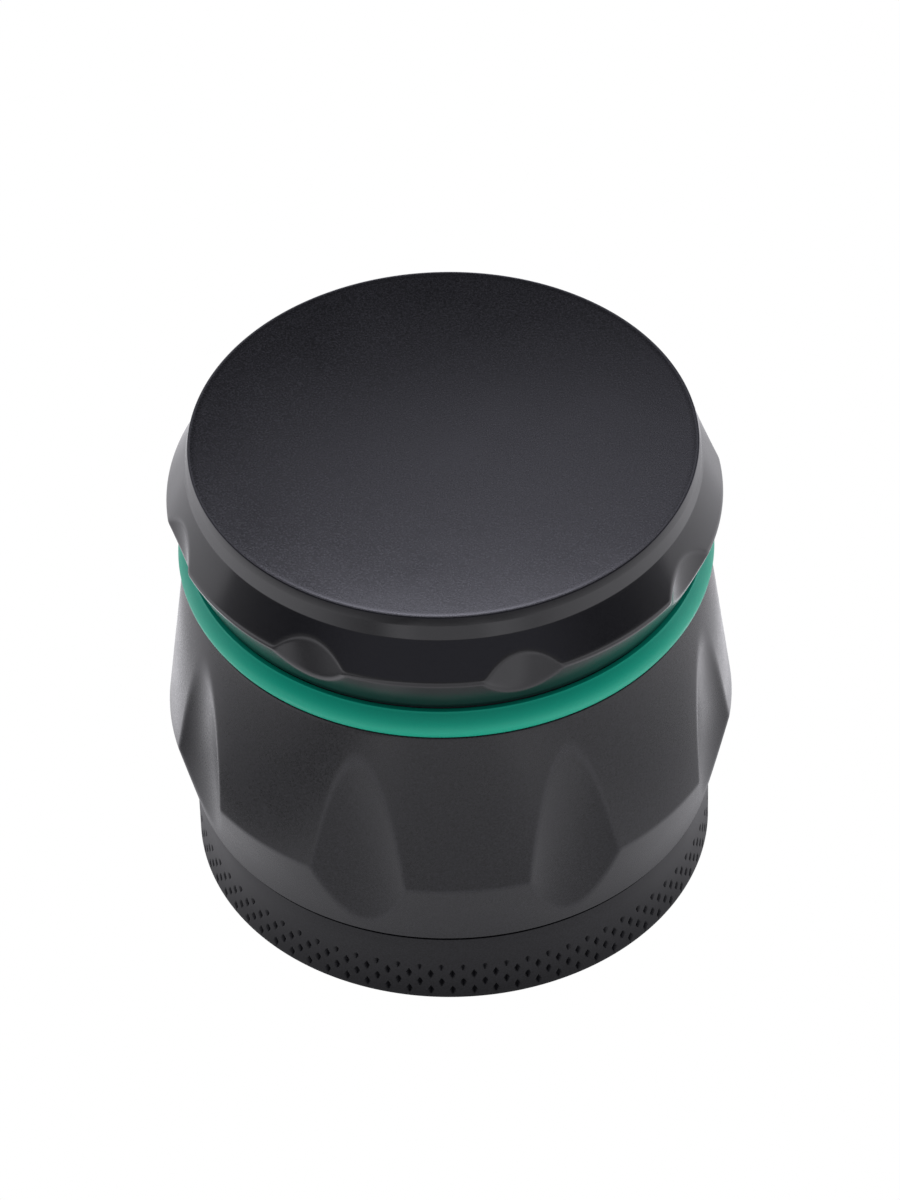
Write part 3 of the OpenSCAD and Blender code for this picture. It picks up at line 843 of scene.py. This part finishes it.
def notched_lid():
    """The lid, from its magnet's pocket down, out, up its notched wall, and over the rim into the dish."""
    skin = Skin()
    pocket = MAGNET_R + POCKET_PLAY
    pocket_z = LID_HUB_LOW + MAGNET_H + POCKET_PLAY
    path = outline((0, pocket_z), (pocket, pocket_z), (pocket, LID_HUB_LOW, 0.1), (HUB_R, LID_HUB_LOW, 0.25),
                   (HUB_R, LID_CEILING))
    hub = [skin.turned(*p, count=HUB_POINTS) for p in path][-1]
    sockets = blind_holes(skin, LID_TEETH, LID_CEILING, -SHANK_H - 0.05)
    skin.lift()
    ceiling_rim = skin.turned(LID_SHOULDER_R - 0.3, LID_CEILING)
    skin.plate(ceiling_rim, [hub, *sockets], faces_up=False)
    skin.follow(outline((LID_SHOULDER_R - 0.2, LID_CEILING), (LID_SHOULDER_R, LID_CEILING, 0.15),
                        (LID_SHOULDER_R, LID_SHOULDER, 0.15), (LID_BORE_R, LID_SHOULDER, 0.2),
                        (LID_BORE_R, LID_LOW, 0.25), (LID_BORE_R + 0.5, LID_LOW)))
    a = angles(DENSE)
    arc, land = lid_profile()
    foot = outline((LID_FOOT_R - 0.6, LID_LOW), (LID_FOOT_R, LID_LOW, 0.25), arc[0])[1:-1]
    taper = np.array([foot[-1], arc[0]])
    cone = np.array([arc[-1], land[0]])
    wall = foot + [tuple(taper[0] + t * (taper[1] - taper[0])) for t in np.linspace(0, 1, 16)[1:-1]]
    wall += arc + [tuple(cone[0] + t * (cone[1] - cone[0])) for t in np.linspace(0, 1, 26)[1:-1]]
    for r, z in wall:
        cut, lip = smooth_min(r, cutter_reach(a, NOTCH_PHASE, NOTCH_FLOOR, NOTCH_CUTTER), NOTCH_BLEND)
        skin.turned(cut, z, DENSE, edge=0.4 * lip)
    # The edge mask lightens the top of the land and the crest into a painted highlight line along the rim
    for r, z in land:
        skin.turned(r, z, DENSE, edge=max(0.0, 1 - 4 * (LID_TOP - z)))
    crest = land[-1][0]
    for t in np.linspace(0.25, 1, 4):
        skin.turned(crest + (DISH_R - crest) * t, LID_TOP - DISH_EDGE * t * t, DENSE, edge=1 - t)
    dish = (DISH_R**2 + (DISH_DEPTH - DISH_EDGE) ** 2) / (2 * (DISH_DEPTH - DISH_EDGE))
    for r in np.linspace(DISH_R - 0.4, 0, 18):
        skin.turned(r if r > 1e-6 else 0, LID_TOP - DISH_DEPTH + dish - math.sqrt(dish**2 - r**2), MEDIUM)
    lid = skin.piece("notched_lid", LID_BLACK, "lid", ["lid_shell"])
    lid.data.materials.append(TOP_BLACK)
    for face in lid.data.polygons:
        middle = face.center / MM
        if middle.z > LID_TOP - DISH_DEPTH - 0.1 and math.hypot(middle.x, middle.y) < RIM_R - RIM_ROUND:
            face.material_index = 1


# ---------------------------------------------------------------- stage

# The camera's place in metres, its angles in radians (pitch is downwards), and its lens in millimetres
CAMERA_BACK = 0.572086
CAMERA_UP = 0.583714
CAMERA_PITCH = 0.76484
CAMERA_YAW = 0.000417
CAMERA_ROLL = -0.029942
CAMERA_LENS = 207.084


def camera():
    data = bpy.data.cameras.new("camera")
    data.sensor_width = 36
    data.lens = CAMERA_LENS
    data.clip_start = 0.01
    data.clip_end = 20
    obj = bpy.data.objects.new("camera", data)
    level = math.cos(CAMERA_PITCH)
    forward = Vector((math.sin(CAMERA_YAW) * level, math.cos(CAMERA_YAW) * level, -math.sin(CAMERA_PITCH)))
    right = Vector((math.cos(CAMERA_YAW), -math.sin(CAMERA_YAW), 0))
    up = right.cross(forward)
    tilted = math.cos(CAMERA_ROLL) * right + math.sin(CAMERA_ROLL) * up
    up = math.cos(CAMERA_ROLL) * up - math.sin(CAMERA_ROLL) * right
    turn = Matrix((tilted, up, -forward)).transposed()
    obj.matrix_world = Matrix.Translation((0, -CAMERA_BACK, CAMERA_UP)) @ turn.to_4x4()
    scene.collection.objects.link(obj)
    scene.camera = obj


# Levels of the floor's light: by distance from the axis, from left to right, and by distance at the back
FLOOR_GLOW = ((0, 0.3), (31, 0.33), (35, 0.55), (50, 0.62), (75, 0.7), (105, 0.9), (140, 1.0), (170, 0.8),
              (240, 0.3))
SIDE_GLOW = ((-300, 1.2), (-105, 1.3), (-88, 1.0), (-72, 0.65), (-57, 0.25), (-47, 1.2), (-38, 1.4),
             (-25, 1.0), (25, 1.0), (38, 1.4), (50, 1.25), (64, 0.85), (95, 1.25), (140, 1.2))
BACK_GLOW = ((38, 0.5), (46, 1.2), (52, 2.0), (60, 0.9), (72, 0.6), (110, 0.9), (200, 1.2))


def floor():
    """A plain white floor. The light it gives the object is dimmer near it and far off, varies from left
    to right, and has other levels behind the object, where those are higher."""
    half = 4.0
    low = -0.00003
    corners = [(-half, -half, low), (half, -half, low), (half, half, low), (-half, half, low)]
    data = bpy.data.meshes.new("floor")
    data.from_pydata(corners, [], [(0, 1, 2, 3)])
    obj = bpy.data.objects.new("floor", data)
    scene.collection.objects.link(obj)
    finish = Finish("white_floor")
    finish.nodes.remove(finish.shader)
    apart = finish.add("ShaderNodeSeparateXYZ")
    finish.feed(apart, finish.where)
    away = finish.add("ShaderNodeVectorMath", operation="LENGTH")
    finish.links.new(finish.where, away.inputs[0])
    away = away.outputs["Value"]
    across = finish.stops(apart.outputs["X"], SIDE_GLOW)
    behind = finish.fade(apart.outputs["Y"], -0.02, 0.02)
    front = finish.maths("MULTIPLY", finish.stops(away, FLOOR_GLOW), across)
    back = finish.maths("MULTIPLY", finish.stops(away, BACK_GLOW), behind)
    lit = finish.maths("MAXIMUM", front, back)
    light = finish.add("ShaderNodeEmission")
    finish.feed(light, FLOOR_TINT, lit)
    shown = finish.only_seen(light, finish.add("ShaderNodeEmission"))
    finish.links.new(shown, finish.nodes["Material Output"].inputs["Surface"])
    data.materials.append(finish.material)


def direction(azimuth, elevation):
    """The way to a light. Azimuth 0 is over the camera, 90 to its right, and 180 behind the object."""
    a, e = math.radians(azimuth), math.radians(elevation)
    return math.sin(a) * math.cos(e), -math.cos(a) * math.cos(e), math.sin(e)


LIGHTS = (
    ((179, 25), 2, 11, 5.0),
    ((182, 41), 0, 7, 0.9),
    ((120, 4), 15, 40, 1.2),
    ((-120, 4), 15, 40, 1.0),
    ((0, 0), 25, 60, 0.22),
)
AMBIENT = 0.13
SKY_TINT = (0.985, 0.98, 1.15, 1)
FLOOR_TINT = (1.0, 0.99, 1.04, 1)


def world():
    """White to the camera. To the object it is dim, with soft lights, each given by its direction, the angles
    from its middle where it starts and stops fading, and its strength."""
    data = bpy.data.worlds.new("studio")
    scene.world = data
    data.use_nodes = True
    data.node_tree.nodes.clear()
    graph = Graph(data.node_tree)
    way = graph.add("ShaderNodeTexCoord").outputs["Generated"]
    total = AMBIENT
    for middle, start, stop, strength in LIGHTS:
        dot = graph.add("ShaderNodeVectorMath", operation="DOT_PRODUCT")
        graph.links.new(way, dot.inputs[0])
        dot.inputs[1].default_value = direction(*middle)
        near = graph.fade(dot.outputs["Value"], math.cos(math.radians(stop)), math.cos(math.radians(start)),
                          0.0, strength)
        total = graph.maths("ADD", near, total)
    light = graph.add("ShaderNodeBackground")
    graph.feed(light, SKY_TINT, total)
    output = graph.add("ShaderNodeOutputWorld")
    graph.links.new(graph.only_seen(light, graph.add("ShaderNodeBackground")), output.inputs["Surface"])


# ---------------------------------------------------------------- the whole

camera()
knurled_base()
rubber_seal()
fluted_drum()
screen_hoop()
woven_screen()
spring_clip()
accent_ring()
grinding_chamber()
teeth("chamber_pins", CHAMBER_TEETH, CHAMBER_FLOOR, True, "chamber", "chamber_teeth")
disc_magnet("chamber_disc_magnet", CHAMBER_FLOOR + HUB_H - MAGNET_H, "chamber", "chamber_magnet")
glide_ring()
notched_lid()
teeth("lid_pins", LID_TEETH, LID_CEILING, False, "lid", "lid_teeth")
disc_magnet("lid_disc_magnet", LID_HUB_LOW, "lid", "lid_magnet")

floor()
world()
scene.view_settings.view_transform = "Standard"
